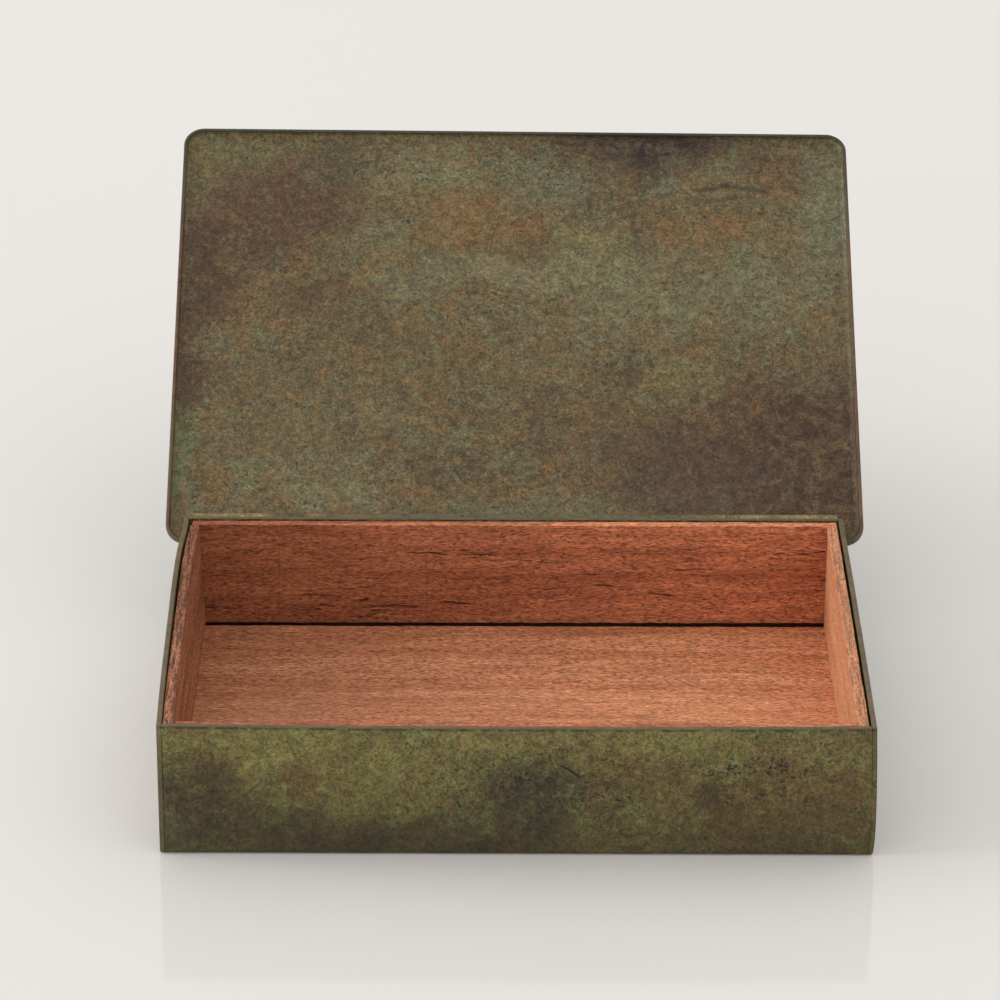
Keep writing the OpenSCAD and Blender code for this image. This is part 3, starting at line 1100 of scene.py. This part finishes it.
# Painted light and shade in the boards' wood: upright_wood and floor_wood are painted paler to the
# right and darker to the left; upright_wood also has a painted highlight on its top edge and
# painted shade in the gap over the floor.
upright_wood = wood_material(
    "board_wood", 0, tone(190, 120, 84), tone(158, 92, 62), streaks=0.95, seed=1.3, painted_gap_shade=0.9,
    painted_side_light=0.18, painted_top_light=0.35)
# Painted shade: the left board's wood is painted darker, as the side that faces away from the
# light from the left.
left_wood_painted_shade = wood_material(
    "left_board_wood_painted_shade", 1, tone(178, 118, 84), tone(142, 88, 62), streaks=1.0, seed=5.1,
    ripple=0.35, contrast=1.2, cracks=0.6)
# Painted light: the right board's wood is painted paler, as the side that faces the light from the
# left.
right_wood_painted_light = wood_material(
    "right_board_wood_painted_light", 1, tone(214, 154, 113), tone(196, 132, 94), streaks=0.6, seed=6.3,
    ripple=0.35, contrast=0.7, cracks=0.3)
floor_wood = wood_material(
    "floor_board_wood", 0, tone(208, 142, 102), tone(188, 120, 82), streaks=0.12, seed=2.7,
    figure=0.9, cracks=0.0, painted_side_light=0.15)

make_board("front_board", "liner_front", 0, upright_wood, 1.0, front_fitted)
make_board("back_board", "liner_back", 0, upright_wood, 2.0, back_fitted,
           rebated_corners())
make_board("left_board", "liner_left", 1, left_wood_painted_shade, 3.0, left_fitted)
make_board("right_board", "liner_right", 1, right_wood_painted_light, 4.0)
make_board("floor_board", "liner_floor", 0, floor_wood, 5.0, floor_fitted)

# ---------------------------------------------------------------- table, light and camera


def make_table():
    """Pale glossy table top, far larger than the view."""
    bm = bmesh.new()
    bmesh.ops.create_grid(bm, x_segments=8, y_segments=8, size=4.0)
    mesh = bpy.data.meshes.new("table_top")
    bm.to_mesh(mesh)
    bm.free()
    table = bpy.data.objects.new("table_top", mesh)
    bpy.context.scene.collection.objects.link(table)
    graph = Graph("table_gloss")
    cloud = graph.noise(graph.place, 3.0, 3, 0.5)
    colour = graph.mix(cloud, tone(232, 229, 226), tone(229, 226, 223))
    roughness = graph.remap(cloud, 0.0, 1.0, 0.05, 0.09)
    table.data.materials.append(
        graph.finish(colour, roughness, cloud, 0.02 * MM, 0.0, 0.5, ior=1.4))


def make_light(name, place, size, power, colour):
    """Soft round light that faces the origin and stays out of the picture itself."""
    data = bpy.data.lights.new(name, "AREA")
    data.shape = "DISK"
    data.size = size
    data.energy = power
    data.color = colour
    light = bpy.data.objects.new(name, data)
    light.location = place
    light.visible_camera = False
    light.rotation_mode = "QUATERNION"
    light.rotation_quaternion = (-Vector(place)).to_track_quat("-Z", "Y")
    bpy.context.scene.collection.objects.link(light)


def make_world(colour, strength):
    world = bpy.data.worlds.new("studio")
    bpy.context.scene.world = world
    world.use_nodes = True
    background = world.node_tree.nodes["Background"]
    background.inputs["Color"].default_value = colour
    background.inputs["Strength"].default_value = strength


def make_camera(place, pitch, roll, yaw, lens):
    """Camera at place, looking along +Y, pitched down and rolled by degrees."""
    pitch, roll, yaw = (math.radians(a) for a in (pitch, roll, yaw))
    forward = Vector((0, math.cos(pitch), -math.sin(pitch)))
    down = Vector((0, -math.sin(pitch), -math.cos(pitch)))
    right = Vector((1, 0, 0))
    side = math.cos(roll) * right + math.sin(roll) * down
    lower = math.cos(roll) * down - math.sin(roll) * right
    turn = Matrix((side, -lower, -forward)).transposed()
    turn = Matrix.Rotation(yaw, 3, "Z") @ turn
    data = bpy.data.cameras.new("camera")
    data.lens = lens
    data.sensor_width = 36
    data.clip_start, data.clip_end = 0.05, 50
    camera = bpy.data.objects.new("camera", data)
    camera.matrix_world = Matrix.Translation(place) @ turn.to_4x4()
    bpy.context.scene.collection.objects.link(camera)
    bpy.context.scene.camera = camera


CAMERA_PLACE = Vector((-4.4, -964.4, 501.8)) * MM
CAMERA_PITCH, CAMERA_ROLL, CAMERA_YAW = 24.40, -0.199, -0.027
CAMERA_LENS = 160.5
WORLD_COLOUR, WORLD_STRENGTH = (1.0, 0.988, 0.975, 1.0), 0.88
KEY_PLACE, KEY_SIZE, KEY_POWER = (-5.0, 0.2, 1.6), 3.0, 150.0
KEY_COLOUR = (1.0, 0.985, 0.965)

make_table()
make_world(WORLD_COLOUR, WORLD_STRENGTH)
make_light("key", KEY_PLACE, KEY_SIZE, KEY_POWER, KEY_COLOUR)
make_camera(CAMERA_PLACE, CAMERA_PITCH, CAMERA_ROLL, CAMERA_YAW, CAMERA_LENS)
bpy.context.scene.view_settings.view_transform = "Standard"
